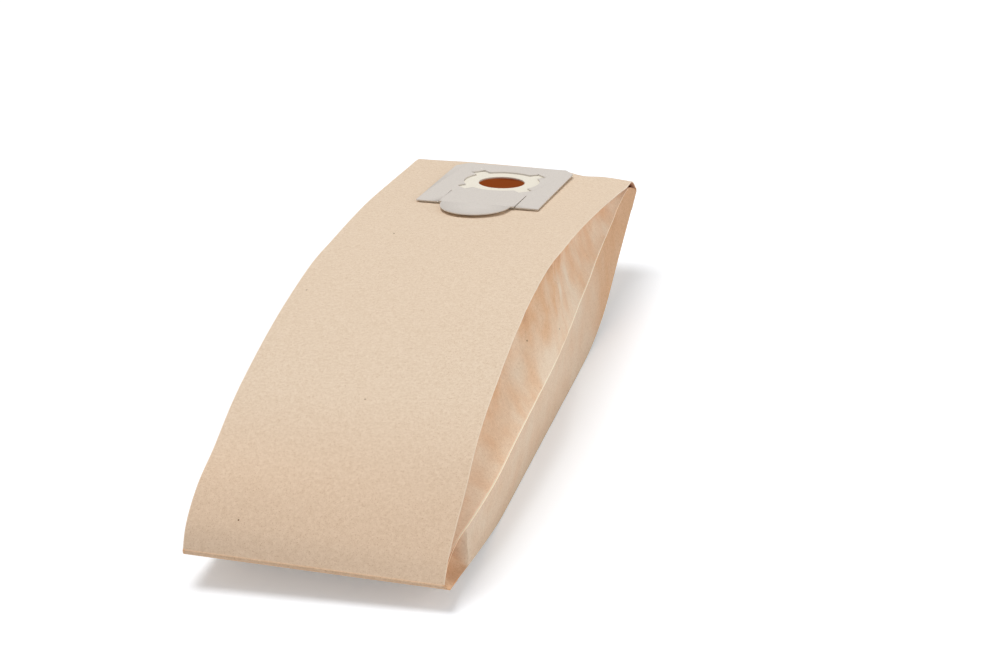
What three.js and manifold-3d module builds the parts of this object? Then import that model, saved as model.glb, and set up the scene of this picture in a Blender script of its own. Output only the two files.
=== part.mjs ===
// Paper dust bag for a wet and dry vacuum cleaner, opened out and lying on its back.
// One kraft tube with side gussets, both ends folded flat, and a two-layer card collar on its top panel.
// Units are millimetres. +Y runs along the bag from the plain end to the collar end, and +Z is up.
import * as THREE from 'three';
import { mergeVertices } from 'three/addons/utils/BufferGeometryUtils.js';
import Module from 'manifold-3d';

// The bag
const bagWidth = 240;
const plainEndPlace = 5;
const collarEndPlace = 851;
const paperWall = 0.8;
const creaseLip = 1.2;
const gussetPanel = 84;
const sectionCount = 64;
const mitreLimit = 30;
const solidEnd = 0.011;

// The long top line, seen from the side: heights above the floor
const plainEndTop = 31;
const shoulderPlace = 55;
const shoulderHeight = 83;
const shoulderHandle = 29;
const shoulderSlope = 0.58;
const archHandle = 70;
const crownPlace = 402;
const crownHeight = 162;
const crownHandle = 150;
const crownSlope = 0.03;
const seatStart = 606;
const seatLength = 200;
const seatMiddleHeight = 135.65;
const seatPitch = 5.7;
const droopHandle = 16;
const collarEndTop = 97;

// The long bottom line
const plainEndBottom = 26.8;
const kneePlace = 165;
const kneeHeight = 1;
const bellyStart = 200;
const bellyEnd = 570;
const liftHandle = 80;
const collarEndBottom = 92;
const collarEndHandle = 150;
const collarEndSlope = 0.375;

// Stations along the bag: the share of its length, and a value there
const endTilt = [[0, -5.3], [0.15, 0], [0.95, 0], [1, -5]];
const rightRise = [[0, 0], [0.14, 2], [0.38, 7], [0.6, 1], [0.68, -5], [0.95, -5], [1, 0]];
const creaseDrop = [[0, 0], [0.72, 0], [0.95, 9], [1, 1]];
const sideShift = [[0, -5.5], [0.12, 0]];
const foldOut = [[0, 0], [0.05, 4], [0.22, 11], [0.38, 14], [0.5, 11], [0.62, 3], [0.78, -8], [0.95, -10], [1, -1]];
const endTuck = [[0, 42], [0.06, 0], [0.94, 0], [1, 42]];

// The flat middle of the top panel
const flatHalfWidth = 75;
const flatRiseShare = 0.22;

// The collar
const inletDiameter = 50;
const inletBeforeSeatEnd = 79.5;
const inletSideShift = -3;
const collarTurn = -1.5;
const boardWidth = 132.5;
const boardFrontReach = 103;
const boardBackReach = 68;
const boardThickness = 1.3;
const backBoardThickness = 1.1;
const backBoardInset = 2.5;
const glueGap = 0.3;
const cornerCutAcross = 11;
const cornerCutAlong = 15;
const lockDiameter = 82;
const lockLobeReach = 51;
const lockLobeWidth = 17;
const slitWidth = 0.9;
const slitStart = 12;
const flapShoulder = 4;
const tabDepth = 46;
const roundSteps = 48;

// Finish
const kraft = new THREE.MeshStandardMaterial({ color: 0xdfc7aa, roughness: 0.85, metalness: 0 });
const greyBoard = new THREE.MeshStandardMaterial({ color: 0xd8cec4, roughness: 0.8, metalness: 0 });
const creamBoard = new THREE.MeshStandardMaterial({ color: 0xf0e8da, roughness: 0.75, metalness: 0 });

const wasm = await Module();
wasm.setup();

const halfWidth = bagWidth / 2;
const seatSlope = -Math.tan(THREE.MathUtils.degToRad(seatPitch));
const seatEnd = seatStart + seatLength;

// Smooth value between stations
function along(stations, share) {
  const last = stations.length - 1;
  if (share <= stations[0][0]) return stations[0][1];
  if (share >= stations[last][0]) return stations[last][1];
  const next = stations.findIndex((station) => station[0] > share);
  const [startShare, startValue] = stations[next - 1];
  const [endShare, endValue] = stations[next];
  return THREE.MathUtils.lerp(startValue, endValue, THREE.MathUtils.smoothstep(share, startShare, endShare));
}

// Height of the collar's flat seat at a place along the bag
function seatHeight(place) {
  return seatMiddleHeight + seatSlope * (place - seatStart - seatLength / 2);
}

// The top line: a steep end, a long arch to the crown, a flat seat for the collar and a drooping end
function makeTopLine() {
  const line = new THREE.Path();
  line.moveTo(plainEndPlace, plainEndTop);
  line.quadraticCurveTo(
    shoulderPlace - shoulderHandle, shoulderHeight - shoulderSlope * shoulderHandle,
    shoulderPlace, shoulderHeight);
  line.bezierCurveTo(
    shoulderPlace + archHandle, shoulderHeight + shoulderSlope * archHandle,
    crownPlace - crownHandle, crownHeight - crownSlope * crownHandle,
    crownPlace, crownHeight);
  const halfwayToSeat = (crownPlace + seatStart) / 2;
  line.quadraticCurveTo(halfwayToSeat, seatHeight(halfwayToSeat), seatStart, seatHeight(seatStart));
  line.lineTo(seatEnd, seatHeight(seatEnd));
  const droopPlace = seatEnd + droopHandle;
  line.quadraticCurveTo(droopPlace, seatHeight(droopPlace), collarEndPlace, collarEndTop);
  return line;
}

// The bottom line: flat on the floor along the belly, with both ends lifted
function makeBottomLine() {
  const line = new THREE.Path();
  line.moveTo(plainEndPlace, plainEndBottom);
  line.quadraticCurveTo(kneePlace, kneeHeight, bellyStart, 0);
  line.lineTo(bellyEnd, 0);
  line.bezierCurveTo(
    bellyEnd + liftHandle, 0,
    collarEndPlace - collarEndHandle, collarEndBottom - collarEndSlope * collarEndHandle,
    collarEndPlace, collarEndBottom);
  return line;
}

const topLine = makeTopLine();
const bottomLine = makeBottomLine();

// One side of a cross-section, from the bottom crease up to the flat middle of the top panel.
// Between the creases come the outward fold of the side and the valley that the slack paper makes above it.
function sideCorners(share, side) {
  const top = topLine.getPointAt(share);
  const bottom = bottomLine.getPointAt(share);
  const rise = side * along(rightRise, share);
  const crease = top.y - along(creaseDrop, share) + rise;
  const middle = (crease + bottom.y) / 2;
  const foldX = halfWidth + along(foldOut, share);
  const stretch = Math.hypot(halfWidth - foldX, crease - middle);
  const slack = Math.sqrt(Math.max(gussetPanel ** 2 - stretch ** 2, 0)) / 2;
  const valleyX = (halfWidth + foldX) / 2 - slack - along(endTuck, share);
  return [
    [halfWidth, bottom.y],
    [foldX, middle],
    [valleyX, (crease + middle) / 2],
    [halfWidth, crease - creaseLip],
    [halfWidth, crease],
    [flatHalfWidth, top.y + rise * flatRiseShare],
  ].map(([x, z]) => [side * x, z]);
}

// A whole cross-section as [x, z] corners, counter-clockwise seen from the plain end
function outerCorners(share) {
  return [...sideCorners(share, 1), ...sideCorners(share, -1).reverse()];
}

// The same cross-section one wall further in, with each top crease brought to a single corner
function innerCorners(share) {
  const corners = outerCorners(share);
  const count = corners.length;
  const inward = ([fromX, fromZ], [toX, toZ]) => {
    const size = Math.hypot(toX - fromX, toZ - fromZ);
    return [-(toZ - fromZ) / size, (toX - fromX) / size];
  };
  const inset = corners.map(([x, z], index) => {
    const first = inward(corners[(index + count - 1) % count], [x, z]);
    const second = inward([x, z], corners[(index + 1) % count]);
    const scale = Math.min(paperWall / (1 + first[0] * second[0] + first[1] * second[1]), mitreLimit);
    return [x + (first[0] + second[0]) * scale, z + (first[1] + second[1]) * scale];
  });
  const creaseInset = 3 * paperWall;
  return corners.flatMap(([x, z], index) => {
    if (index === 3 || index === count - 4) return [];
    if (index === 4 || index === count - 5) return [[x - Math.sign(x) * creaseInset, z - paperWall]];
    return [inset[index]];
  });
}

// Puts a section's corners in space, each at its own place along the bag
function placeCorners(corners, share) {
  const top = topLine.getPointAt(share);
  const bottom = bottomLine.getPointAt(share);
  const shift = along(sideShift, share);
  const tilt = along(endTilt, share) / halfWidth;
  return corners.map(([x, z]) => {
    const lift = THREE.MathUtils.clamp((z - bottom.y) / (top.y - bottom.y), 0, 1);
    const place = THREE.MathUtils.lerp(bottom.x, top.x, lift);
    return new THREE.Vector3(x + shift, place, z + tilt * x);
  });
}

// Skins a row of closed sections, with both ends capped
function loft(sections, flatOutlines) {
  const count = sections[0].length;
  const positions = sections.flat().flatMap((point) => [point.x, point.y, point.z]);
  const index = [];
  for (let row = 0; row < sections.length - 1; row += 1) {
    for (let corner = 0; corner < count; corner += 1) {
      const next = (corner + 1) % count;
      const near = row * count;
      const far = near + count;
      index.push(near + corner, far + next, near + next, near + corner, far + corner, far + next);
    }
  }
  const cap = (outline, offset, flip) => {
    const shape = outline.map(([x, z]) => new THREE.Vector2(x, z));
    for (const [a, b, c] of THREE.ShapeUtils.triangulateShape(shape, [])) {
      index.push(offset + a, offset + (flip ? c : b), offset + (flip ? b : c));
    }
  };
  cap(flatOutlines[0], 0, false);
  cap(flatOutlines[1], (sections.length - 1) * count, true);
  const geometry = new THREE.BufferGeometry();
  geometry.setAttribute('position', new THREE.Float32BufferAttribute(positions, 3));
  geometry.setIndex(index);
  return geometry;
}

// Closed three.js geometry to solid, and back
function toSolid(geometry) {
  geometry.deleteAttribute('normal');
  geometry.deleteAttribute('uv');
  const merged = mergeVertices(geometry, 1e-4);
  return new wasm.Manifold(new wasm.Mesh({
    numProp: 3,
    vertProperties: new Float32Array(merged.attributes.position.array),
    triVerts: new Uint32Array(merged.index.array),
  }));
}

function toGeometry(solid) {
  const mesh = solid.getMesh();
  const geometry = new THREE.BufferGeometry();
  geometry.setAttribute('position', new THREE.BufferAttribute(mesh.vertProperties, 3));
  geometry.setIndex(new THREE.BufferAttribute(mesh.triVerts, 1));
  geometry.computeVertexNormals();
  return geometry;
}

// A closed skin through the bag's sections between two shares of its length
function bagSkin(cornersAt, startShare, endShare) {
  const sections = [];
  const outlines = [];
  for (let row = 0; row <= sectionCount; row += 1) {
    const share = THREE.MathUtils.lerp(startShare, endShare, row / sectionCount);
    const corners = cornersAt(share);
    sections.push(placeCorners(corners, share));
    outlines.push(corners);
  }
  return toSolid(loft(sections, [outlines[0], outlines[sectionCount]]));
}

// The collar's own frame: its origin is the inlet's centre on the top panel
const inletPlace = seatEnd - inletBeforeSeatEnd;
const inletRise = along(rightRise, inletPlace / collarEndPlace) * flatRiseShare;
const seatBank = inletRise / flatHalfWidth;
const collarUp = new THREE.Vector3(-seatBank, -seatSlope, 1).normalize();
const collarAcross = new THREE.Vector3(1, 0, seatBank)
  .normalize()
  .applyAxisAngle(collarUp, THREE.MathUtils.degToRad(collarTurn));
const collarAlong = new THREE.Vector3().crossVectors(collarUp, collarAcross);
const inletCentre = new THREE.Vector3(
  inletSideShift, inletPlace, seatHeight(inletPlace) + seatBank * inletSideShift);
const collarFrame = new THREE.Matrix4()
  .makeBasis(collarAcross, collarAlong, collarUp)
  .setPosition(inletCentre);

// A flat board of the collar, from a low to a high face
function board(shape, low, thickness) {
  const geometry = new THREE.ExtrudeGeometry(shape, { depth: thickness, bevelEnabled: false, curveSegments: roundSteps });
  geometry.translate(0, 0, low);
  geometry.applyMatrix4(collarFrame);
  return geometry;
}

// Outline with the two far corners cut off, grown or shrunk by a margin
function boardOutline(margin) {
  const side = boardWidth / 2 - margin;
  const front = -boardFrontReach + margin;
  const back = boardBackReach - margin;
  const shape = new THREE.Shape();
  shape.moveTo(-side, front);
  shape.lineTo(side, front);
  shape.lineTo(side, back - cornerCutAlong);
  shape.lineTo(side - cornerCutAcross, back);
  shape.lineTo(-side + cornerCutAcross, back);
  shape.lineTo(-side, back - cornerCutAlong);
  shape.closePath();
  return shape;
}

function cylinderInCollar(radius, low, height) {
  const geometry = new THREE.CylinderGeometry(radius, radius, height, roundSteps);
  geometry.rotateX(Math.PI / 2);
  geometry.translate(0, 0, low + height / 2);
  geometry.applyMatrix4(collarFrame);
  return toSolid(geometry);
}

function boxInCollar(width, depth, height, x, y, z, turn) {
  const geometry = new THREE.BoxGeometry(width, depth, height);
  geometry.translate(x, y, z);
  geometry.rotateZ(turn);
  geometry.applyMatrix4(collarFrame);
  return toSolid(geometry);
}

// The paper bag: skin less its inside, with the inlet cut through the top panel
function makePaperBag() {
  const skin = bagSkin(outerCorners, 0, 1);
  const inside = bagSkin(innerCorners, solidEnd, 1 - solidEnd);
  const cut = cylinderInCollar(inletDiameter / 2, -inletDiameter / 2, inletDiameter);
  return skin.subtract(inside).subtract(cut);
}

// The cream back board, glued to the paper, with the round inlet
function makeBackBoard() {
  const whole = toSolid(board(boardOutline(backBoardInset), glueGap, backBoardThickness));
  return whole.subtract(cylinderInCollar(inletDiameter / 2, 0, 2 * boardThickness));
}

// The grey front board: locking cut-out with four lobes, and a closing flap between two slits
function makeFrontBoard() {
  const low = 2 * glueGap + backBoardThickness;
  const cutLow = low - boardThickness;
  const cutHeight = 3 * boardThickness;
  const lockRadius = lockDiameter / 2;
  let solid = toSolid(board(boardOutline(0), low, boardThickness));
  const tab = new THREE.Shape();
  const tabHalf = lockRadius - flapShoulder;
  tab.moveTo(-tabHalf, -boardFrontReach + flapShoulder);
  tab.lineTo(-tabHalf, -boardFrontReach);
  tab.absellipse(0, -boardFrontReach, tabHalf, tabDepth, Math.PI, 2 * Math.PI, false);
  tab.lineTo(tabHalf, -boardFrontReach + flapShoulder);
  tab.closePath();
  solid = solid.add(toSolid(board(tab, low, boardThickness)));
  solid = solid.subtract(cylinderInCollar(lockRadius, cutLow, cutHeight));
  for (let lobe = 0; lobe < 4; lobe += 1) {
    const turn = Math.PI / 4 + lobe * Math.PI / 2;
    solid = solid.subtract(boxInCollar(
      lockLobeReach, lockLobeWidth, cutHeight, lockLobeReach / 2, 0, cutLow + cutHeight / 2, turn));
  }
  const slitLength = boardFrontReach - lockRadius - slitStart;
  for (const side of [-1, 1]) {
    solid = solid.subtract(boxInCollar(
      slitWidth, slitLength + boardThickness, cutHeight,
      side * lockRadius, -lockRadius - slitStart - (slitLength + boardThickness) / 2, cutLow + cutHeight / 2, 0));
  }
  return solid;
}

const group = new THREE.Group();
const pieces = [
  ['paper_bag', makePaperBag(), kraft],
  ['collar_back_board', makeBackBoard(), creamBoard],
  ['collar_front_board', makeFrontBoard(), greyBoard],
];
for (const [name, solid, material] of pieces) {
  const mesh = new THREE.Mesh(toGeometry(solid), material);
  mesh.name = name;
  group.add(mesh);
}

// The origin is under the middle of the whole bag, on the floor
group.updateMatrixWorld(true);
const box = new THREE.Box3().setFromObject(group, true);
group.position.set(-(box.min.x + box.max.x) / 2, -(box.min.y + box.max.y) / 2, -box.min.z);

export default group;
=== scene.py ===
"""Looks of the paper dust bag: folded kraft paper, its collar's two card boards, light and camera."""
import math

import bpy
import numpy as np
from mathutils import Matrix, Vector, noise


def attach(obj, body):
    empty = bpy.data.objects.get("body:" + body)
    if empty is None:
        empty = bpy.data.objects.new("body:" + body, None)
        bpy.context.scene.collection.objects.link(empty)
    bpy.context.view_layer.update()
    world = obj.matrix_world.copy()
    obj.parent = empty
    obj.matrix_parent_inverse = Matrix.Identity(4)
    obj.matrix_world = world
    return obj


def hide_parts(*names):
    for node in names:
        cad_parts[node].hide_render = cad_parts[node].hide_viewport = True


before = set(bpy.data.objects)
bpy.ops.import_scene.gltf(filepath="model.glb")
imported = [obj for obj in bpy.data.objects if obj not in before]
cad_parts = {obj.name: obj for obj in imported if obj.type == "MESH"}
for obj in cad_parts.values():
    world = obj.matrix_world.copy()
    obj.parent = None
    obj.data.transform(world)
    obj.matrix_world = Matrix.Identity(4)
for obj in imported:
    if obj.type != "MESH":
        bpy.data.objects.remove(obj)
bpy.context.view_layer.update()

MM = 0.001
# The creases below are measured from the plain end; this puts that zero in the part's frame
START = -427.93

# Widths and lengths of the paper, in mm
HALF_WIDTH = 120.0
GUSSET_PANEL = 84.0
PAPER = 0.3
# A tucked sheet keeps this far below the top sheet and above the bottom one, in mm, wherever it lies
# at least this far in from the sheets' edges
SHEET_CLEARANCE = 1.2
CLEARANCE_START = 0.3

# Rows of points along the bag, and even steps across a gusset panel and across the top or bottom sheet
ROWS = 260
GUSSET_STEPS = 12
SHEET_STEPS = 34
# Beside each crease the paper has points at these distances, in mm
CREASE_STEPS = (0.0, 0.5, 1.1, 2.2, 4.5)
# Points of paper that lie closer together than this are merged, in mm, and points of a board
SAME_POINT = 0.01
SAME_BOARD_POINT = 0.002
# Faces that meet at a flatter angle than this are shaded as one soft surface
SOFT_ANGLE = math.radians(32)

# The top creases, from the plain end to the collar end, as (along, height)
TOP_RIGHT = [(4.4, 25.3), (15, 40), (32, 57), (60, 81), (96, 106), (138, 124), (194, 139),
             (257, 153), (331, 163.5), (402, 166.5), (476, 160.5), (555, 152), (651, 138),
             (762, 118), (803, 110.2), (829, 107.4), (841, 101), (852, 92)]
TOP_LEFT = [(7, 36.7), (12, 48), (20, 60), (50, 84.5), (98, 102.5), (149, 120), (211, 134),
            (283, 146), (350, 153), (413, 156.5), (476, 154.5), (541, 152), (614, 147.5),
            (702, 138), (770, 130), (818, 123.6), (836, 115), (848, 102)]
# The bottom creases lie on the floor between the two lifted ends
BOTTOM_RIGHT = [(5, 21.5), (84, 11), (180, 0.8), (220, 0), (380, 0), (540, 0), (600, 2), (657, 11),
                (690, 21), (745, 44), (793, 63), (826, 76), (854, 87)]
BOTTOM_LEFT = [(9, 32), (84, 15), (176, 1.4), (220, 0), (380, 0), (540, 0), (600, 2), (652, 11),
               (684, 22), (735, 47), (780, 66), (812, 81), (848, 97)]
# The fold down the middle of the right side, as (along, height, distance from the bag's middle)
SIDE_FOLD = [(5, 23.4, 119.5), (20, 38, 119.3), (46, 49, 120.3), (75, 55, 123.3), (139, 65, 130),
             (211, 73, 132), (286, 80, 134), (376, 84, 134), (430, 83, 131), (490, 79, 126),
             (549, 76.5, 121), (610, 75, 117), (670, 76, 113), (716, 80, 112), (762, 85.5, 112),
             (789, 89, 111.5), (818, 95, 113.5), (836, 97, 115.5), (853, 91, 118)]

# The plain end leans to the left by this much, in mm, which dies out over this share of the length.
# The right bottom crease is held back by this share of it
END_SHIFT = -5.5
END_SHIFT_LENGTH = 0.12
SHIFT_HELD_BACK = 0.9

# How far the gusset is tucked in at each end, in mm, and over which shares of the length
PLAIN_TUCK = 42.0
PLAIN_TUCK_REACH = (0.0, 0.06)
COLLAR_TUCK = 24.0
COLLAR_TUCK_REACH = (0.94, 1.0)
# The tucked paper is drawn less deep towards the collar end, where it lies close under the top sheet
SHALLOWER = 0.6
SHALLOWER_REACH = (0.68, 0.93)
# Near the plain end the gusset creases across, and the paper beyond that crease lies slack: how deep it
# falls in and where that ends, in mm, and where it begins, as shares of the length
SLACK_DEPTH = 18.0
SLACK_EDGE = (63.0, 71.0)
SLACK_START = (0.004, 0.04)
SECOND_FOLD_DEPTH = 7.0
SECOND_FOLD_EDGE = (135.0, 165.0)
SECOND_FOLD_START = (0.0, 0.05)
# The slack valley above the side fold is deepest this share of the way down from the top crease, it
# begins this far from the crease, in mm, and this power makes it broad
VALLEY_PLACE = 0.3
VALLEY_START = (0.3, 2.0)
VALLEY_BREADTH = 0.8

# Pale creases are partly rubbed wear and partly painted highlight
# How pale each crease is painted, the side folds most and the sheet's own edges less, and how wide, in
# mm
FOLD_WEAR_AND_HIGHLIGHT = 1.0
EDGE_WEAR_AND_HIGHLIGHT = 0.6
WORN_AND_HIGHLIT_WIDTH = 1.0
# A side fold also gets this much painted glow, an emission for light through the rubbed paper
FOLD_PAINTED_GLOW = 0.5
# Right at the collar end the gusset is folded in and shaded: its pale crease and painted glow are weaker
# by this share, and its painted warm shade stronger
FOLDED_IN_SHADE = 0.8
FOLDED_IN_SHADE_REACH = (0.974, 0.984)
# The painted warm shade of a gusset's lower panel, where 1 is red-brown: everywhere, more towards the
# collar end, and more where it lies slack at the plain end. It is strongest where the sheets lie close
# together
LOWER_PAINTED_SHADE = 0.12
LOWER_COLLAR_PAINTED_SHADE = 0.36
LOWER_COLLAR_REACH = (560.0, 740.0)
LOWER_PLAIN_PAINTED_SHADE = 0.34
# The painted warm shade of its upper panel: everywhere, more right under the top crease, and more of
# that towards the collar end. The power says how fast it fades below the crease
UPPER_PAINTED_SHADE = 0.1
CREASE_PAINTED_SHADE = 0.5
CREASE_COLLAR_PAINTED_SHADE = 0.24
CREASE_COLLAR_REACH = (0.7, 0.93)
CREASE_PAINTED_SHADE_FADE = 1.5
# The painted warm shade of the top and bottom sheets near the plain end
SHEET_PAINTED_SHADE = 0.15
SHEET_PAINTED_SHADE_REACH = (30.0, 220.0)
# The painted glow, an emission for light that comes through the upper panel at the side fold:
# everywhere, and more towards the plain end. Under the top crease this share of it is left
PANEL_PAINTED_GLOW = 0.1
PLAIN_PAINTED_GLOW = 0.06
PLAIN_PAINTED_GLOW_REACH = (150.0, 450.0)
PAINTED_GLOW_LEFT = 0.15
PANEL_PAINTED_GLOW_FADE = 1.4

# Random bumps in the paper, as (their size in mm, their place in the noise)
WAVES = (95, 3.1)
LARGE_CRUMPLES = (26, 7.7)
SMALL_CRUMPLES = (11, 1.3)
LARGE_PATCHES = (34, 5.2)
SMALL_PATCHES = (13, 9.4)
# The small ones count for this share of the large ones
SMALL_CRUMPLE_SHARE = 0.6
SMALL_PATCH_SHARE = 0.5
# How high the top sheet waves, and how high the gusset's upper and lower panels crumple, in mm
WAVE_HEIGHT = 1.6
UPPER_CRUMPLE = 2.4
LOWER_CRUMPLE = 0.7
# How much the patches change the upper panel's painted warm shade, and the share of that on the lower
# one
PATCHINESS = 0.32
LOWER_PATCH_SHARE = 0.35
# The bumps grow from the plain end and fade before the collar end, over these shares of the length
BUMPS_GROW = (0.01, 0.08)
BUMPS_FADE = (0.9, 0.98)

# Each end is folded under once more. How long the strip under it is, and how thick its plies, in mm
HEM_LENGTH = 27.0
HEM_PLY = 0.9
# How far the folded edge stands out past the creases, and how much painted warm shade its paper gets
NOSE_DEPTH = 1.6
HEM_PAINTED_SHADE = 0.3
# The share of its width at each end where the plies show end on, and how much painted warm shade they
# get there
HEM_END = 0.008
HEM_END_PAINTED_SHADE = 0.5
# Points round the folded edge and across the bag, and the strip's own, as shares of its length
NOSE_POINTS = 15
HEM_POINTS = 47
STRIP_PLACES = (0.2, 0.6, 1.0)
# Where the four creases end, as (across, along, height): top left, top right, bottom left, bottom right
PLAIN_END = ((-125.5, 7.0, 36.7), (114.5, 4.4, 25.3), (-125.5, 9.0, 32.0), (119.4, 5.0, 21.5))
COLLAR_END = ((-120, 848, 102), (120, 852, 92), (-120, 848, 97), (120, 854, 87))
# How much the strip rises for each mm that it runs back: it falls a little at both ends
PLAIN_STRIP_SLOPE = -0.13
COLLAR_STRIP_SLOPE = -0.42

# The collar's flat seat on the top sheet: the inlet's middle, the way up, and the inlet's radius, in mm
INLET = Vector((-2.95, 298.58, 133.64))
SEAT_UP = Vector((0.01459, 0.09931, 0.99495))
INLET_RADIUS = 25.0
# The tool that cuts the inlet: how many sides it has and how deep it is, in mm
PUNCH_SIDES = 96
PUNCH_DEPTH = 40.0
# Where the collar's hold on the sheet fades, in mm from the inlet's middle: to both sides, towards the
# plain end and towards the collar end
HOLD_ACROSS = (50.0, 135.0)
HOLD_TO_PLAIN_END = (-165.0, -112.0)
HOLD_TO_COLLAR_END = (66.0, 128.0)
# The sag of the sheet beside the collar's far right corner: where across and from where to where along,
# how wide and how deep, in mm, and where it fades, as shares of the length
SAG_PLACE = 66.0
SAG_ALONG = (356.0, 388.0)
SAG_WIDTH = 17.0
SAG_DEPTH = 3.7
SAG_FADE = (0.975, 1.0)

# The collar's flap: how the boards are turned on their seat, where its hinge line and its two slits run
# from the inlet's middle, how far it reaches past the hinge line, and how far its tip is bent up and out
BOARD_TURN = math.radians(-1.5)
FLAP_HINGE = 53.0
FLAP_SLITS = 40.9
FLAP_REACH = 92.0
FLAP_LIFT = 2.4
FLAP_STRETCH = 4.5

# Patterns as bumps per metre. Fibre clumps are about 3 mm across and single fibres about 0.9 mm long,
# drawn coarse enough to show. Specks of bark lie about 33 mm apart, and the card's fleck is 1.4 mm
FIBRE_CLUMPS = 330.0
SINGLE_FIBRES = 1100.0
BARK_SPECKS = 30.0
CARD_FLECK = 700.0

# The white sweep: its size and how far it lies below the bag, in metres, and how much white is added to
# it where the camera sees it
SWEEP_SIZE = 40.0
SWEEP_DROP = 0.0005
SWEEP_LIFT = 0.27
# The high key: where it comes from, its power, and how widely it spreads
KEY_FROM = (-0.22, 0.06, 0.97)
KEY_POWER = 1.75
KEY_SPREAD = math.radians(32)
# The fill on the right: where it stands, what it points at and how large it is, in metres, and its power
FILL_PLACE = Vector((2.8, -0.2, 1.0))
FILL_TARGET = Vector((0.0, 0.0, 0.05))
FILL_SIZE = 1.8
FILL_POWER = 20.0
WORLD_POWER = 0.36
# The camera: where it stands, in mm, how far it looks down and to the left, its roll, and its lens
CAMERA_PLACE = Vector((727.6, -2241.9 + START, 1226.7))
CAMERA_DOWN = math.radians(22.53)
CAMERA_LEFT = math.radians(13.94)
CAMERA_ROLL = math.radians(-1.46)
CAMERA_LENS = 108
CAMERA_SENSOR = 36


def srgb(code, alpha=1.0):
    """A hex colour as a person reads it, turned to the linear colour that shaders take."""
    parts = [int(code[i:i + 2], 16) / 255 for i in (1, 3, 5)]
    return tuple(c / 12.92 if c <= 0.04045 else ((c + 0.055) / 1.055) ** 2.4 for c in parts) + (alpha,)


def smooth(value, low, high):
    """A soft step from 0 at low to 1 at high."""
    t = np.clip((np.asarray(value, float) - low) / (high - low), 0.0, 1.0)
    return t * t * (3 - 2 * t)


def crease_curve(points, samples=1600):
    """A soft curve through the measured points, at even steps of its own length."""
    p = np.array(points, float)
    knots = np.r_[0, np.cumsum(np.sqrt(np.linalg.norm(np.diff(p[:, :2], axis=0), axis=1)))]
    slopes = np.gradient(p, knots, axis=0)
    dense = []
    for k in range(len(p) - 1):
        t = np.linspace(0, 1, samples // len(p), endpoint=False)[:, None]
        h = knots[k + 1] - knots[k]
        dense.append((2 * t**3 - 3 * t**2 + 1) * p[k] + (t**3 - 2 * t**2 + t) * h * slopes[k]
                     + (3 * t**2 - 2 * t**3) * p[k + 1] + (t**3 - t**2) * h * slopes[k + 1])
    dense = np.vstack(dense + [p[-1:]])
    length = np.r_[0, np.cumsum(np.linalg.norm(np.diff(dense[:, :2], axis=0), axis=1))]
    return dense, length / length[-1]


def at_shares(curve, shares):
    """Points of a crease curve at shares of its length."""
    dense, length = curve
    return np.stack([np.interp(shares, length, dense[:, k]) for k in range(dense.shape[1])], axis=1)


def select_only(piece):
    """Makes one object the only selected and active one."""
    if bpy.context.object and bpy.context.object.mode != "OBJECT":
        bpy.ops.object.mode_set(mode="OBJECT")
    bpy.ops.object.select_all(action="DESELECT")
    piece.select_set(True)
    bpy.context.view_layer.objects.active = piece


def finish_piece(piece, slot, *materials):
    """Puts a piece on the part's one body, with its finish. Its slot is not used."""
    for layer in materials:
        piece.data.materials.append(layer)
    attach(piece, "root")


def add(tree, kind, links=None, **settings):
    """Adds a node, sets what it is given, and links its inputs."""
    node = tree.nodes.new(kind)
    for name, value in settings.items():
        if name.startswith("in_"):
            key = name[3:].replace("_", " ")
            node.inputs[int(key) if key.isdigit() else key].default_value = value
        else:
            setattr(node, name, value)
    for name, source in (links or {}).items():
        tree.links.new(source, node.inputs[name])
    return node


# The folded paper
def panel_steps(count, length):
    """Steps from one crease to the next, close to both and wide between them, and the panel's length."""
    near = np.array(CREASE_STEPS) / length
    middle = np.linspace(near[-1], 1 - near[-1], count)[1:-1]
    return np.r_[near, middle, 1 - near[::-1]], length


def valley(steps, deepest):
    """How far slack paper falls in at each step, as a share, when it is deepest that far across."""
    across, length = steps
    lean = math.log(0.5) / math.log(deepest)
    return np.sin(np.pi * across ** lean) ** VALLEY_BREADTH * smooth(across * length, *VALLEY_START)


def crease_end(crease, across, shift):
    """A crease's point in the part's frame, from its place along the bag and its height."""
    return np.array([across + shift, crease[0] + START, crease[1]])


def spare_paper(top, fold):
    """How far an upper panel can fall in, because it is wider than its two creases are apart."""
    chord = np.linalg.norm(top - fold)
    return math.sqrt(max(GUSSET_PANEL**2 - chord**2, 0)) / 2


def between_sheets(point, sheets, top, low):
    """Keeps a point that is tucked inwards as far up between the two sheets as it was at their edge."""
    left_t, left_b, right_t, right_b = sheets
    height = np.clip((point[2] - low[2]) / (top[2] - low[2]), 0, 1)
    edge = low + height * (top - low)
    share = np.clip((point[0] - left_t[0]) / (right_t[0] - left_t[0]), 0, 1)
    upper = left_t + share * (right_t - left_t)
    lower = left_b + share * (right_b - left_b)
    middle = lower + height * (upper - lower)
    inset = min(point[0] - left_t[0], right_t[0] - point[0])
    clear = SHEET_CLEARANCE * np.clip(inset / CLEARANCE_START, 0, 1)
    rise = np.clip(middle[2] + point[2] - edge[2], lower[2] + clear, upper[2] - clear)
    return np.array([point[0], middle[1] + point[1] - edge[1], rise])


def flat_panel(start, stop, steps):
    """A panel's points from its first crease on. Its last crease is the next panel's first."""
    return start + (stop - start) * steps[0][:-1, None]


def tucked_panel(start, stop, steps, fall, edge):
    """A gusset panel's points, moved across by its fall and kept between the sheets."""
    points = flat_panel(start, stop, steps)
    points[:, 0] += fall[:-1]
    return np.array([between_sheets(point, *edge) for point in points])


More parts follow.
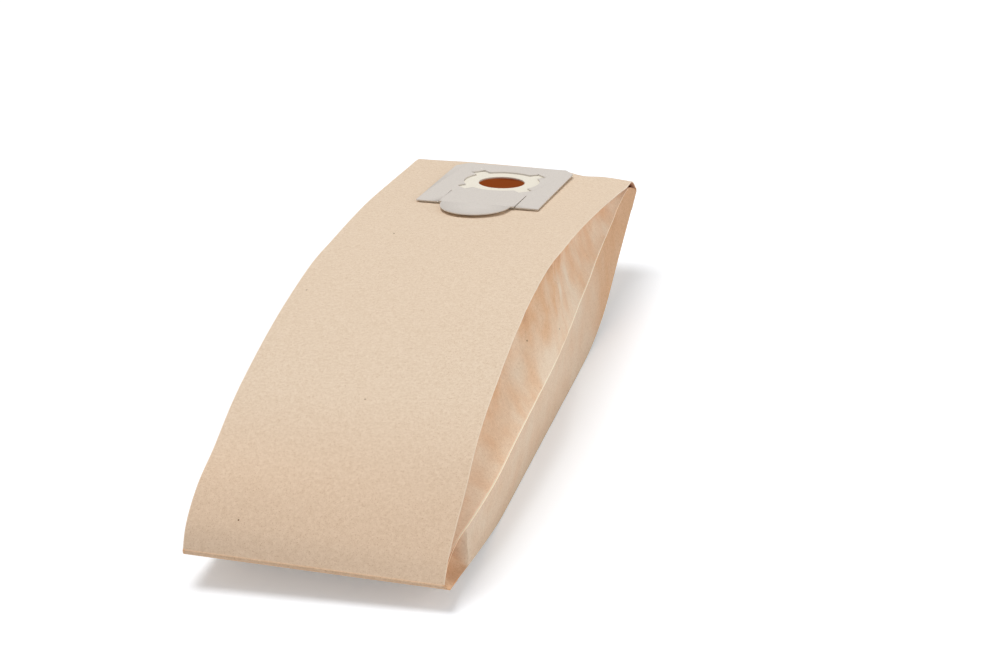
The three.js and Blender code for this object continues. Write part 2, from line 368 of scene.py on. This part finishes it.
def bag_rings(shares, creases, gusset, sheet):
    """The paper's points, row by row. A row runs once round the tube, from the right bottom crease."""
    top_r, top_l, low_r, low_l, fold = creases
    along = low_r[:, 0]
    shift = END_SHIFT * (1 - smooth(shares, 0, END_SHIFT_LENGTH))
    tuck = PLAIN_TUCK * (1 - smooth(shares, *PLAIN_TUCK_REACH))
    tuck += COLLAR_TUCK * smooth(shares, *COLLAR_TUCK_REACH)
    second = (1 - smooth(along, *SECOND_FOLD_EDGE)) * smooth(shares, *SECOND_FOLD_START)
    tuck += SECOND_FOLD_DEPTH * second
    shallow = 1 - SHALLOWER * smooth(shares, *SHALLOWER_REACH)
    slack = SLACK_DEPTH * (1 - smooth(along, *SLACK_EDGE)) * smooth(shares, *SLACK_START)
    # A lower panel's slack is deepest halfway
    upper, lower = valley(gusset, VALLEY_PLACE), valley(gusset, 0.5)
    rings = []
    for k in range(ROWS):
        right_t = crease_end(top_r[k], HALF_WIDTH, shift[k])
        right_b = crease_end(low_r[k], HALF_WIDTH - SHIFT_HELD_BACK * shift[k], shift[k])
        left_t = crease_end(top_l[k], -HALF_WIDTH, shift[k])
        left_b = crease_end(low_l[k], -HALF_WIDTH, shift[k])
        # The left side fold lies as deep in its side as the measured right one
        right_f = crease_end(fold[k], fold[k, 2], shift[k])
        drop = (right_t + right_b) / 2 - right_f
        left_f = (left_t + left_b) / 2 - drop * (-1, 1, 1)
        sheets = (left_t, left_b, right_t, right_b)
        on_right, on_left = (sheets, right_t, right_b), (sheets, left_t, left_b)
        fall_r = spare_paper(right_t, right_f) * shallow[k] + tuck[k]
        fall_l = spare_paper(left_t, left_f) * shallow[k] + tuck[k]
        rings.append(np.vstack([
            tucked_panel(right_b, right_f, gusset, -slack[k] * lower, on_right),
            tucked_panel(right_f, right_t, gusset, -fall_r * upper[::-1], on_right),
            flat_panel(right_t, left_t, sheet),
            tucked_panel(left_t, left_f, gusset, fall_l * upper, on_left),
            tucked_panel(left_f, left_b, gusset, slack[k] * lower, on_left),
            flat_panel(left_b, right_b, sheet),
        ]))
    return np.array(rings)


def pale_beside_creases(steps, first, last):
    """How pale a panel is painted beside its first and its last crease, row by row: partly rubbing,
    partly painted highlight.
    """
    across, length = steps
    near = np.maximum(0.0, 1 - np.minimum(across, 1 - across) * length / WORN_AND_HIGHLIT_WIDTH)
    return np.where(across < 0.5, first[:, None], last[:, None]) * near


def round_tube(*panels):
    """Six panels' values side by side, as the rings run. Each leaves its last crease to the next."""
    return np.hstack([panel[:, :-1] for panel in panels])


def paper_marks(shares, along, gusset, sheet):
    """What the paper's finish reads at each point of the rings: pale creases from rubbing and painted
    highlight, painted warm shade and painted glow.
    """
    folded_in_shade = FOLDED_IN_SHADE * smooth(shares, *FOLDED_IN_SHADE_REACH)
    # Pale creases, partly rubbed wear and partly painted highlight
    edge, fold = np.full(ROWS, EDGE_WEAR_AND_HIGHLIGHT), FOLD_WEAR_AND_HIGHLIGHT * (1 - folded_in_shade)
    to_fold, from_fold = pale_beside_creases(gusset, edge, fold), pale_beside_creases(gusset, fold, edge)
    flat = pale_beside_creases(sheet, edge, edge)
    pale_creases = round_tube(to_fold, from_fold, flat, to_fold, from_fold, flat)

    # Painted warm shade: on the gusset panels, under the top crease and on the sheets near the plain end
    across = gusset[0]
    lower = LOWER_PAINTED_SHADE + LOWER_COLLAR_PAINTED_SHADE * smooth(along, *LOWER_COLLAR_REACH)
    lower += LOWER_PLAIN_PAINTED_SHADE * (1 - smooth(along, *SLACK_EDGE))
    lower = lower[:, None] + np.zeros_like(to_fold)
    under_crease = CREASE_PAINTED_SHADE + CREASE_COLLAR_PAINTED_SHADE * smooth(shares, *CREASE_COLLAR_REACH)
    upper = UPPER_PAINTED_SHADE + under_crease[:, None] * (1 - across) ** CREASE_PAINTED_SHADE_FADE
    upper += (1 - upper) * folded_in_shade[:, None]
    wide = SHEET_PAINTED_SHADE * (1 - smooth(along, *SHEET_PAINTED_SHADE_REACH))
    wide = wide[:, None] + np.zeros_like(flat)
    painted_warm_shade = round_tube(lower, upper[:, ::-1], wide, upper, lower, wide)

    # Painted glow: an emission on the upper panels and the side folds
    panel_glow = (PANEL_PAINTED_GLOW + PLAIN_PAINTED_GLOW * (1 - smooth(along, *PLAIN_PAINTED_GLOW_REACH))) * (1 - folded_in_shade)
    panel_glow = panel_glow[:, None] * (PAINTED_GLOW_LEFT + (1 - PAINTED_GLOW_LEFT) * across ** PANEL_PAINTED_GLOW_FADE)
    no_glow, no_glow_sheet = np.zeros_like(to_fold), np.zeros_like(flat)
    light = round_tube(no_glow, panel_glow[:, ::-1], no_glow_sheet, panel_glow, no_glow, no_glow_sheet)
    light += FOLD_PAINTED_GLOW * np.maximum(0.0, pale_creases - EDGE_WEAR_AND_HIGHLIGHT)
    return {"crease_wear_and_highlight": pale_creases, "painted_warm_shade": painted_warm_shade, "painted_glow": light}


def bumps(rings, size, place):
    """Soft random height at each point of the rings, with bumps about one size across."""
    points = rings.reshape(-1, 3)
    heights = [noise.noise(Vector((x / size + place, y / size, z / size))) for x, y, z in points]
    return np.array(heights).reshape(rings.shape[:2])


def seat_blend(points):
    """How firmly the collar holds the top sheet flat at each point."""
    across, along = points[..., 0] - INLET.x, points[..., 1] - INLET.y
    beside = 1 - smooth(np.abs(across), *HOLD_ACROSS)
    return beside * smooth(along, *HOLD_TO_PLAIN_END) * (1 - smooth(along, *HOLD_TO_COLLAR_END))


def relax_paper(rings, marks, shares, edges):
    """Lays the top sheet flat under the collar, then lets the paper sag, wave and crumple, in place."""
    top = slice(edges[2], edges[3] + 1)
    seat = rings[:, top]
    slope = SEAT_UP.x * (seat[..., 0] - INLET.x) + SEAT_UP.y * (seat[..., 1] - INLET.y)
    plane = INLET.z - slope / SEAT_UP.z
    rings[:, top, 2] += seat_blend(seat) * (plane - seat[..., 2])
    beside = np.exp(-((seat[..., 0] - SAG_PLACE) / SAG_WIDTH) ** 2)
    past = smooth(seat[..., 1], *SAG_ALONG) * (1 - smooth(shares, *SAG_FADE))[:, None]
    rings[:, top, 2] -= SAG_DEPTH * beside * past

    # Gentle waves in the top sheet, and tighter crumples in the sides. The creases and the ends stay put
    free = (smooth(shares, *BUMPS_GROW) * (1 - smooth(shares, *BUMPS_FADE)))[:, None]
    waves = bumps(rings, *WAVES)
    crush = bumps(rings, *LARGE_CRUMPLES) + SMALL_CRUMPLE_SHARE * bumps(rings, *SMALL_CRUMPLES)
    off_crease, upper, lower = np.zeros((3, rings.shape[1]))
    for low, high in zip(edges[:-1], edges[1:]):
        off_crease[low:high] = np.sin(np.pi * (np.arange(low, high) - low) / (high - low))
    upper[edges[1]:edges[2]] = upper[edges[3]:edges[4]] = 1.0
    lower[edges[0]:edges[1]] = lower[edges[4]:edges[5]] = 1.0
    loose = np.zeros(rings.shape[:2])
    loose[:, top] = 1 - seat_blend(rings[:, top])
    rings[:, :, 2] += WAVE_HEIGHT * waves * loose * free * off_crease
    outwards = np.sign(rings[:, :, 0]) * (UPPER_CRUMPLE * upper + LOWER_CRUMPLE * lower)
    rings[:, :, 0] += outwards * crush * off_crease * free
    rings[..., 2] = np.maximum(rings[..., 2], 0.0)

    # The painted warm shade in the gussets is made patchy
    patches = bumps(rings, *LARGE_PATCHES) + SMALL_PATCH_SHARE * bumps(rings, *SMALL_PATCHES)
    patches *= (PATCHINESS * upper + LOWER_PATCH_SHARE * PATCHINESS * lower) * free
    marks["painted_warm_shade"] = np.clip(marks["painted_warm_shade"] + patches * (marks["painted_warm_shade"] > 0), 0, 1)


def paper_grid(name, points, marks):
    """A grid of paper through rows of points in mm, with the marks that its finish reads."""
    bpy.ops.object.select_all(action="DESELECT")
    rows, columns = points.shape[:2]
    bpy.ops.mesh.primitive_grid_add(x_subdivisions=columns - 1, y_subdivisions=rows - 1, size=1)
    paper = bpy.context.object
    paper.name = name
    paper.data.vertices.foreach_set("co", (points * MM).ravel())
    for mark, values in marks.items():
        layer = paper.data.attributes.new(mark, "FLOAT", "POINT")
        layer.data.foreach_set("value", values.ravel())
    select_only(paper)
    return paper


def face_outwards(paper, merge=0.0):
    """Merges points within a distance in mm, where one is given, and turns all faces outwards."""
    select_only(paper)
    bpy.ops.object.mode_set(mode="EDIT")
    bpy.ops.mesh.select_all(action="SELECT")
    if merge:
        bpy.ops.mesh.remove_doubles(threshold=merge * MM)
        bpy.ops.mesh.select_all(action="SELECT")
    bpy.ops.mesh.normals_make_consistent(inside=False)
    bpy.ops.object.mode_set(mode="OBJECT")


def thicken(paper, thickness, side, other_finish=0):
    """Gives a sheet its thickness in mm on one side, and its new faces the finish that many slots on."""
    wall = paper.modifiers.new("paper_thickness", "SOLIDIFY")
    wall.thickness = thickness * MM
    wall.offset = side
    wall.material_offset = other_finish
    bpy.ops.object.modifier_apply(modifier=wall.name)


def make_bag(kraft, kraft_inside_painted_glow):
    """The whole tube of paper, with soft creases, crumples and the inlet hole."""
    shares = np.linspace(0, 1, ROWS)
    gusset, sheet = panel_steps(GUSSET_STEPS, GUSSET_PANEL), panel_steps(SHEET_STEPS, 2 * HALF_WIDTH)
    measured = (TOP_RIGHT, TOP_LEFT, BOTTOM_RIGHT, BOTTOM_LEFT, SIDE_FOLD)
    creases = [at_shares(crease_curve(points), shares) for points in measured]
    rings = bag_rings(shares, creases, gusset, sheet)
    marks = paper_marks(shares, creases[2][:, 0], gusset, sheet)
    side, wide = len(gusset[0]) - 1, len(sheet[0]) - 1
    relax_paper(rings, marks, shares, np.cumsum([0, side, side, wide, side, side, wide]))

    closed = {name: np.hstack([values, values[:, :1]]) for name, values in marks.items()}
    bag = paper_grid("folded_paper_bag", np.hstack([rings, rings[:, :1]]), closed)
    for layer in (kraft, kraft_inside_painted_glow):
        bag.data.materials.append(layer)
    face_outwards(bag, merge=SAME_POINT)
    thicken(bag, PAPER, -1, other_finish=1)
    bpy.ops.mesh.primitive_cylinder_add(
        vertices=PUNCH_SIDES, radius=INLET_RADIUS * MM, depth=PUNCH_DEPTH * MM,
        location=INLET * MM, rotation=SEAT_UP.to_track_quat("Z", "Y").to_euler())
    punch = bpy.context.object
    select_only(bag)
    hole = bag.modifiers.new("inlet", "BOOLEAN")
    hole.object = punch
    hole.operation = "DIFFERENCE"
    bpy.ops.object.modifier_apply(modifier=hole.name)
    bpy.data.objects.remove(punch)
    select_only(bag)
    bpy.ops.object.shade_smooth_by_angle(angle=SOFT_ANGLE)
    return bag


def make_hem(name, creases, outward, slope):
    """A folded end: the top sheet turns over a round nose and runs back as a strip underneath."""
    top_left, top_right, low_left, low_right = (np.array(point, float) for point in creases)
    out = np.array([0.0, outward, 0.0])
    back = np.array([0.0, -outward, slope])
    turns = np.linspace(0, math.pi, NOSE_POINTS)
    inner = np.linspace(1.5 * HEM_END, 1 - 1.5 * HEM_END, HEM_POINTS)
    spread = np.r_[0, 0.5 * HEM_END, inner, 1 - 0.5 * HEM_END, 1]
    rows = []
    for t in spread:
        top = top_left * (1 - t) + top_right * t
        low = low_left * (1 - t) + low_right * t - np.array([0, 0, HEM_PLY])
        middle, half = (top + low) / 2, (top - low) / 2
        nose = [middle + half * math.cos(a) + out * NOSE_DEPTH * math.sin(a) for a in turns]
        strip = [low + back * HEM_LENGTH * share for share in STRIP_PLACES]
        rows.append(nose + strip)
    rows = np.array(rows)
    rows[:, :, 1] += START
    # Painted warm shade, stronger where the plies show end on
    painted_warm_shade = np.where(np.minimum(spread, 1 - spread) < HEM_END, HEM_END_PAINTED_SHADE, HEM_PAINTED_SHADE)
    hem = paper_grid(name, rows, {"painted_warm_shade": np.repeat(painted_warm_shade, rows.shape[1])})
    thicken(hem, HEM_PLY, outward)
    face_outwards(hem)
    bpy.ops.object.shade_smooth_by_angle(angle=SOFT_ANGLE)
    return hem


# The collar
def make_front_board(card):
    """The grey board with its flap bent up a little along the line between the ends of its two slits."""
    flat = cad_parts["collar_front_board"]
    front = flat.copy()
    front.data = flat.data.copy()
    front.name = "grey_board_with_flap"
    bpy.context.collection.objects.link(front)
    front.data.materials.clear()
    front.data.materials.append(card)
    along = SEAT_UP.cross(Vector((math.cos(BOARD_TURN), math.sin(BOARD_TURN), 0))).normalized()
    across = along.cross(SEAT_UP)
    select_only(front)
    bpy.ops.object.mode_set(mode="EDIT")
    bpy.ops.mesh.select_all(action="SELECT")
    bpy.ops.mesh.remove_doubles(threshold=SAME_BOARD_POINT * MM)
    bpy.ops.mesh.select_all(action="SELECT")
    bpy.ops.mesh.bisect(plane_co=(INLET - FLAP_HINGE * along) * MM, plane_no=along)
    bpy.ops.object.mode_set(mode="OBJECT")
    for corner in front.data.vertices:
        place = corner.co / MM - INLET
        past_hinge = -place.dot(along) - FLAP_HINGE
        if past_hinge > 0 and abs(place.dot(across)) < FLAP_SLITS:
            corner.co += (FLAP_LIFT * SEAT_UP - FLAP_STRETCH * along) * MM * past_hinge / FLAP_REACH
    bpy.ops.object.shade_smooth_by_angle(angle=SOFT_ANGLE)
    return front


# The finishes
def kraft_paper():
    """Unbleached kraft filter paper, wet-laid and uncoated: matt, warm tan, with a fine fibre mottle."""
    material = bpy.data.materials.new("kraft_filter_paper")
    material.use_nodes = True
    tree = material.node_tree
    surface = tree.nodes["Principled BSDF"]
    place = add(tree, "ShaderNodeTexCoord").outputs["Object"]
    # Cloudy fibre clumps, with single darker fibres over them
    clumps = add(tree, "ShaderNodeTexNoise", {"Vector": place},
                 in_Scale=FIBRE_CLUMPS, in_Detail=4.0, in_Roughness=0.65)
    fibres = add(tree, "ShaderNodeTexNoise", {"Vector": place},
                 in_Scale=SINGLE_FIBRES, in_Detail=2.0, in_Roughness=0.6)
    tone = add(tree, "ShaderNodeValToRGB", {"Fac": clumps.outputs["Fac"]})
    tone.color_ramp.elements[0].position = 0.32
    tone.color_ramp.elements[0].color = srgb("#E4CDB3")
    tone.color_ramp.elements[1].position = 0.68
    tone.color_ramp.elements[1].color = srgb("#F1DDC6")
    speck = add(tree, "ShaderNodeValToRGB", {"Fac": fibres.outputs["Fac"]})
    speck.color_ramp.elements[0].position = 0.30
    speck.color_ramp.elements[0].color = srgb("#CDAE90")
    speck.color_ramp.elements[1].position = 0.42
    speck.color_ramp.elements[1].color = srgb("#FFFFFF")
    mottled = add(tree, "ShaderNodeMix", data_type="RGBA", blend_type="MULTIPLY", in_0=0.6)
    tree.links.new(tone.outputs["Color"], mottled.inputs[6])
    tree.links.new(speck.outputs["Color"], mottled.inputs[7])
    # A few dark specks of bark, up to 2 mm across
    bark = add(tree, "ShaderNodeTexVoronoi", {"Vector": place}, in_Scale=BARK_SPECKS)
    dark = add(tree, "ShaderNodeMath", {0: bark.outputs["Distance"]}, operation="LESS_THAN", in_1=0.03)
    specked = add(tree, "ShaderNodeMix", {0: dark.outputs[0]}, data_type="RGBA")
    tree.links.new(mottled.outputs[2], specked.inputs[6])
    specked.inputs[7].default_value = srgb("#8A6C50")
    # Painted warm shade, for light that comes partly through the paper in the gussets: warmer, and
    # red-brown where plies lie close
    painted_warm_shade = add(tree, "ShaderNodeAttribute", attribute_name="painted_warm_shade")
    painted_shade_tint = add(tree, "ShaderNodeValToRGB", {"Fac": painted_warm_shade.outputs["Fac"]})
    painted_shade_tint.color_ramp.elements[0].position = 0.0
    painted_shade_tint.color_ramp.elements[0].color = srgb("#FFFFFF")
    painted_shade_tint.color_ramp.elements[1].position = 1.0
    painted_shade_tint.color_ramp.elements[1].color = srgb("#B4734C")
    painted_shade_tint.color_ramp.elements.new(0.5).color = srgb("#F6DAC2")
    painted_shaded = add(tree, "ShaderNodeMix", data_type="RGBA", blend_type="MULTIPLY", in_0=1.0)
    tree.links.new(specked.outputs[2], painted_shaded.inputs[6])
    tree.links.new(painted_shade_tint.outputs["Color"], painted_shaded.inputs[7])
    # Creases are painted pale, partly as rubbed wear and partly as painted highlight
    pale_crease_node = add(tree, "ShaderNodeAttribute", attribute_name="crease_wear_and_highlight")
    creased = add(tree, "ShaderNodeMix", {0: pale_crease_node.outputs["Fac"]}, data_type="RGBA")
    tree.links.new(painted_shaded.outputs[2], creased.inputs[6])
    creased.inputs[7].default_value = srgb("#FFF3E0")
    tree.links.new(creased.outputs[2], surface.inputs["Base Color"])
    # Painted glow: an emission for light that has come through the thin paper keeps the gusset bright
    # beside its fold
    through = add(tree, "ShaderNodeAttribute", attribute_name="painted_glow")
    tree.links.new(through.outputs["Fac"], surface.inputs["Emission Strength"])
    surface.inputs["Emission Color"].default_value = srgb("#FFE0BC")
    surface.inputs["Roughness"].default_value = 0.9
    surface.inputs["Specular IOR Level"].default_value = 0.2
    # The fibres stand up a little
    bump = add(tree, "ShaderNodeBump", {"Height": fibres.outputs["Fac"]},
               in_Strength=0.25, in_Distance=0.0003)
    tree.links.new(bump.outputs["Normal"], surface.inputs["Normal"])
    return material


def painted_glow_inside():
    """The inside of the bag: the same paper, with a painted orange colour and glow for the light that
    comes through it.
    """
    material = bpy.data.materials.new("kraft_paper_painted_glow")
    material.use_nodes = True
    surface = material.node_tree.nodes["Principled BSDF"]
    surface.inputs["Base Color"].default_value = srgb("#D09A6A")
    surface.inputs["Roughness"].default_value = 0.9
    # Painted glow: an emission, though the paper is no lamp
    surface.inputs["Emission Color"].default_value = srgb("#A06232")
    surface.inputs["Emission Strength"].default_value = 0.27
    return material


def board(name, light, dark):
    """Smooth machine-made card: matt, evenly coloured, with a very fine fleck."""
    material = bpy.data.materials.new(name)
    material.use_nodes = True
    tree = material.node_tree
    surface = tree.nodes["Principled BSDF"]
    place = add(tree, "ShaderNodeTexCoord").outputs["Object"]
    fleck = add(tree, "ShaderNodeTexNoise", {"Vector": place}, in_Scale=CARD_FLECK, in_Detail=3.0)
    tone = add(tree, "ShaderNodeValToRGB", {"Fac": fleck.outputs["Fac"]})
    tone.color_ramp.elements[0].position = 0.3
    tone.color_ramp.elements[0].color = srgb(dark)
    tone.color_ramp.elements[1].position = 0.7
    tone.color_ramp.elements[1].color = srgb(light)
    tree.links.new(tone.outputs["Color"], surface.inputs["Base Color"])
    surface.inputs["Roughness"].default_value = 0.8
    surface.inputs["Specular IOR Level"].default_value = 0.3
    return material


# The stage
def make_sweep():
    """A matt white paper sweep that shows nothing but the bag's shadow."""
    bpy.ops.object.select_all(action="DESELECT")
    bpy.ops.mesh.primitive_plane_add(size=SWEEP_SIZE, location=(0, 0, -SWEEP_DROP))
    floor = bpy.context.object
    floor.name = "studio_floor"
    paint = bpy.data.materials.new("white_paper_sweep")
    paint.use_nodes = True
    tree = paint.node_tree
    surface = tree.nodes["Principled BSDF"]
    surface.inputs["Base Color"].default_value = srgb("#EEF1F5")
    surface.inputs["Roughness"].default_value = 0.9
    surface.inputs["Specular IOR Level"].default_value = 0.0
    # Seen straight or in a gloss the sweep is a little brighter, so that only the shadow stands out
    rays = add(tree, "ShaderNodeLightPath").outputs
    seen = add(tree, "ShaderNodeMath", {0: rays["Is Camera Ray"], 1: rays["Is Glossy Ray"]},
               operation="ADD")
    seen = add(tree, "ShaderNodeMath", {0: seen.outputs[0], 1: rays["Is Transmission Ray"]},
               operation="ADD", use_clamp=True)
    lift = add(tree, "ShaderNodeMath", {0: seen.outputs[0]}, operation="MULTIPLY", in_1=SWEEP_LIFT)
    tree.links.new(lift.outputs[0], surface.inputs["Emission Strength"])
    surface.inputs["Emission Color"].default_value = (1, 1, 1, 1)
    floor.data.materials.append(paint)


def light_stage():
    """A soft key from high on the left, a fill from the right, and an even white world."""
    sun = bpy.data.lights.new("high_key", "SUN")
    sun.energy = KEY_POWER
    sun.angle = KEY_SPREAD
    key = bpy.data.objects.new("high_key", sun)
    bpy.context.collection.objects.link(key)
    key.rotation_euler = Vector(KEY_FROM).to_track_quat("Z", "Y").to_euler()

    panel = bpy.data.lights.new("side_fill", "AREA")
    panel.size = FILL_SIZE
    panel.energy = FILL_POWER
    fill = bpy.data.objects.new("side_fill", panel)
    bpy.context.collection.objects.link(fill)
    fill.location = FILL_PLACE
    fill.rotation_euler = (FILL_TARGET - FILL_PLACE).to_track_quat("-Z", "Y").to_euler()

    world = bpy.data.worlds.new("studio")
    bpy.context.scene.world = world
    world.use_nodes = True
    background = world.node_tree.nodes["Background"]
    background.inputs["Color"].default_value = (1, 1, 1, 1)
    background.inputs["Strength"].default_value = WORLD_POWER


def place_camera():
    """The camera where the picture was taken from."""
    data = bpy.data.cameras.new("camera")
    data.lens = CAMERA_LENS
    data.sensor_width = CAMERA_SENSOR
    camera = bpy.data.objects.new("camera", data)
    bpy.context.collection.objects.link(camera)
    level = Vector((math.cos(CAMERA_LEFT), math.sin(CAMERA_LEFT), 0))
    ahead = Vector((-math.sin(CAMERA_LEFT), math.cos(CAMERA_LEFT), 0))
    look = ahead * math.cos(CAMERA_DOWN) - Vector((0, 0, math.sin(CAMERA_DOWN)))
    above = level.cross(look)
    right = level * math.cos(CAMERA_ROLL) + above * math.sin(CAMERA_ROLL)
    up = above * math.cos(CAMERA_ROLL) - level * math.sin(CAMERA_ROLL)
    turn = camera.matrix_world.to_3x3()
    for row in range(3):
        turn[row] = (right[row], up[row], -look[row])
    camera.matrix_world = turn.to_4x4()
    camera.location = CAMERA_PLACE * MM
    bpy.context.scene.camera = camera
    bpy.context.scene.view_settings.view_transform = "Standard"


kraft = kraft_paper()
kraft_inside_painted_glow = painted_glow_inside()
grey_card = board("grey_chipboard", "#E1DAD2", "#D7CFC7")
cream_card = board("cream_card", "#F6F0E2", "#EFE7D7")

bag = make_bag(kraft, kraft_inside_painted_glow)
finish_piece(bag, "kraft_paper")
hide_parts("paper_bag")
plain_hem = make_hem("plain_end_hem", PLAIN_END, -1, PLAIN_STRIP_SLOPE)
collar_hem = make_hem("collar_end_hem", COLLAR_END, 1, COLLAR_STRIP_SLOPE)
for hem in (plain_hem, collar_hem):
    finish_piece(hem, "kraft_paper", kraft)
front = make_front_board(grey_card)
finish_piece(front, "grey_board")
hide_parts("collar_front_board")
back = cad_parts["collar_back_board"]
back.data.materials.clear()
back.data.materials.append(cream_card)

make_sweep()
light_stage()
place_camera()
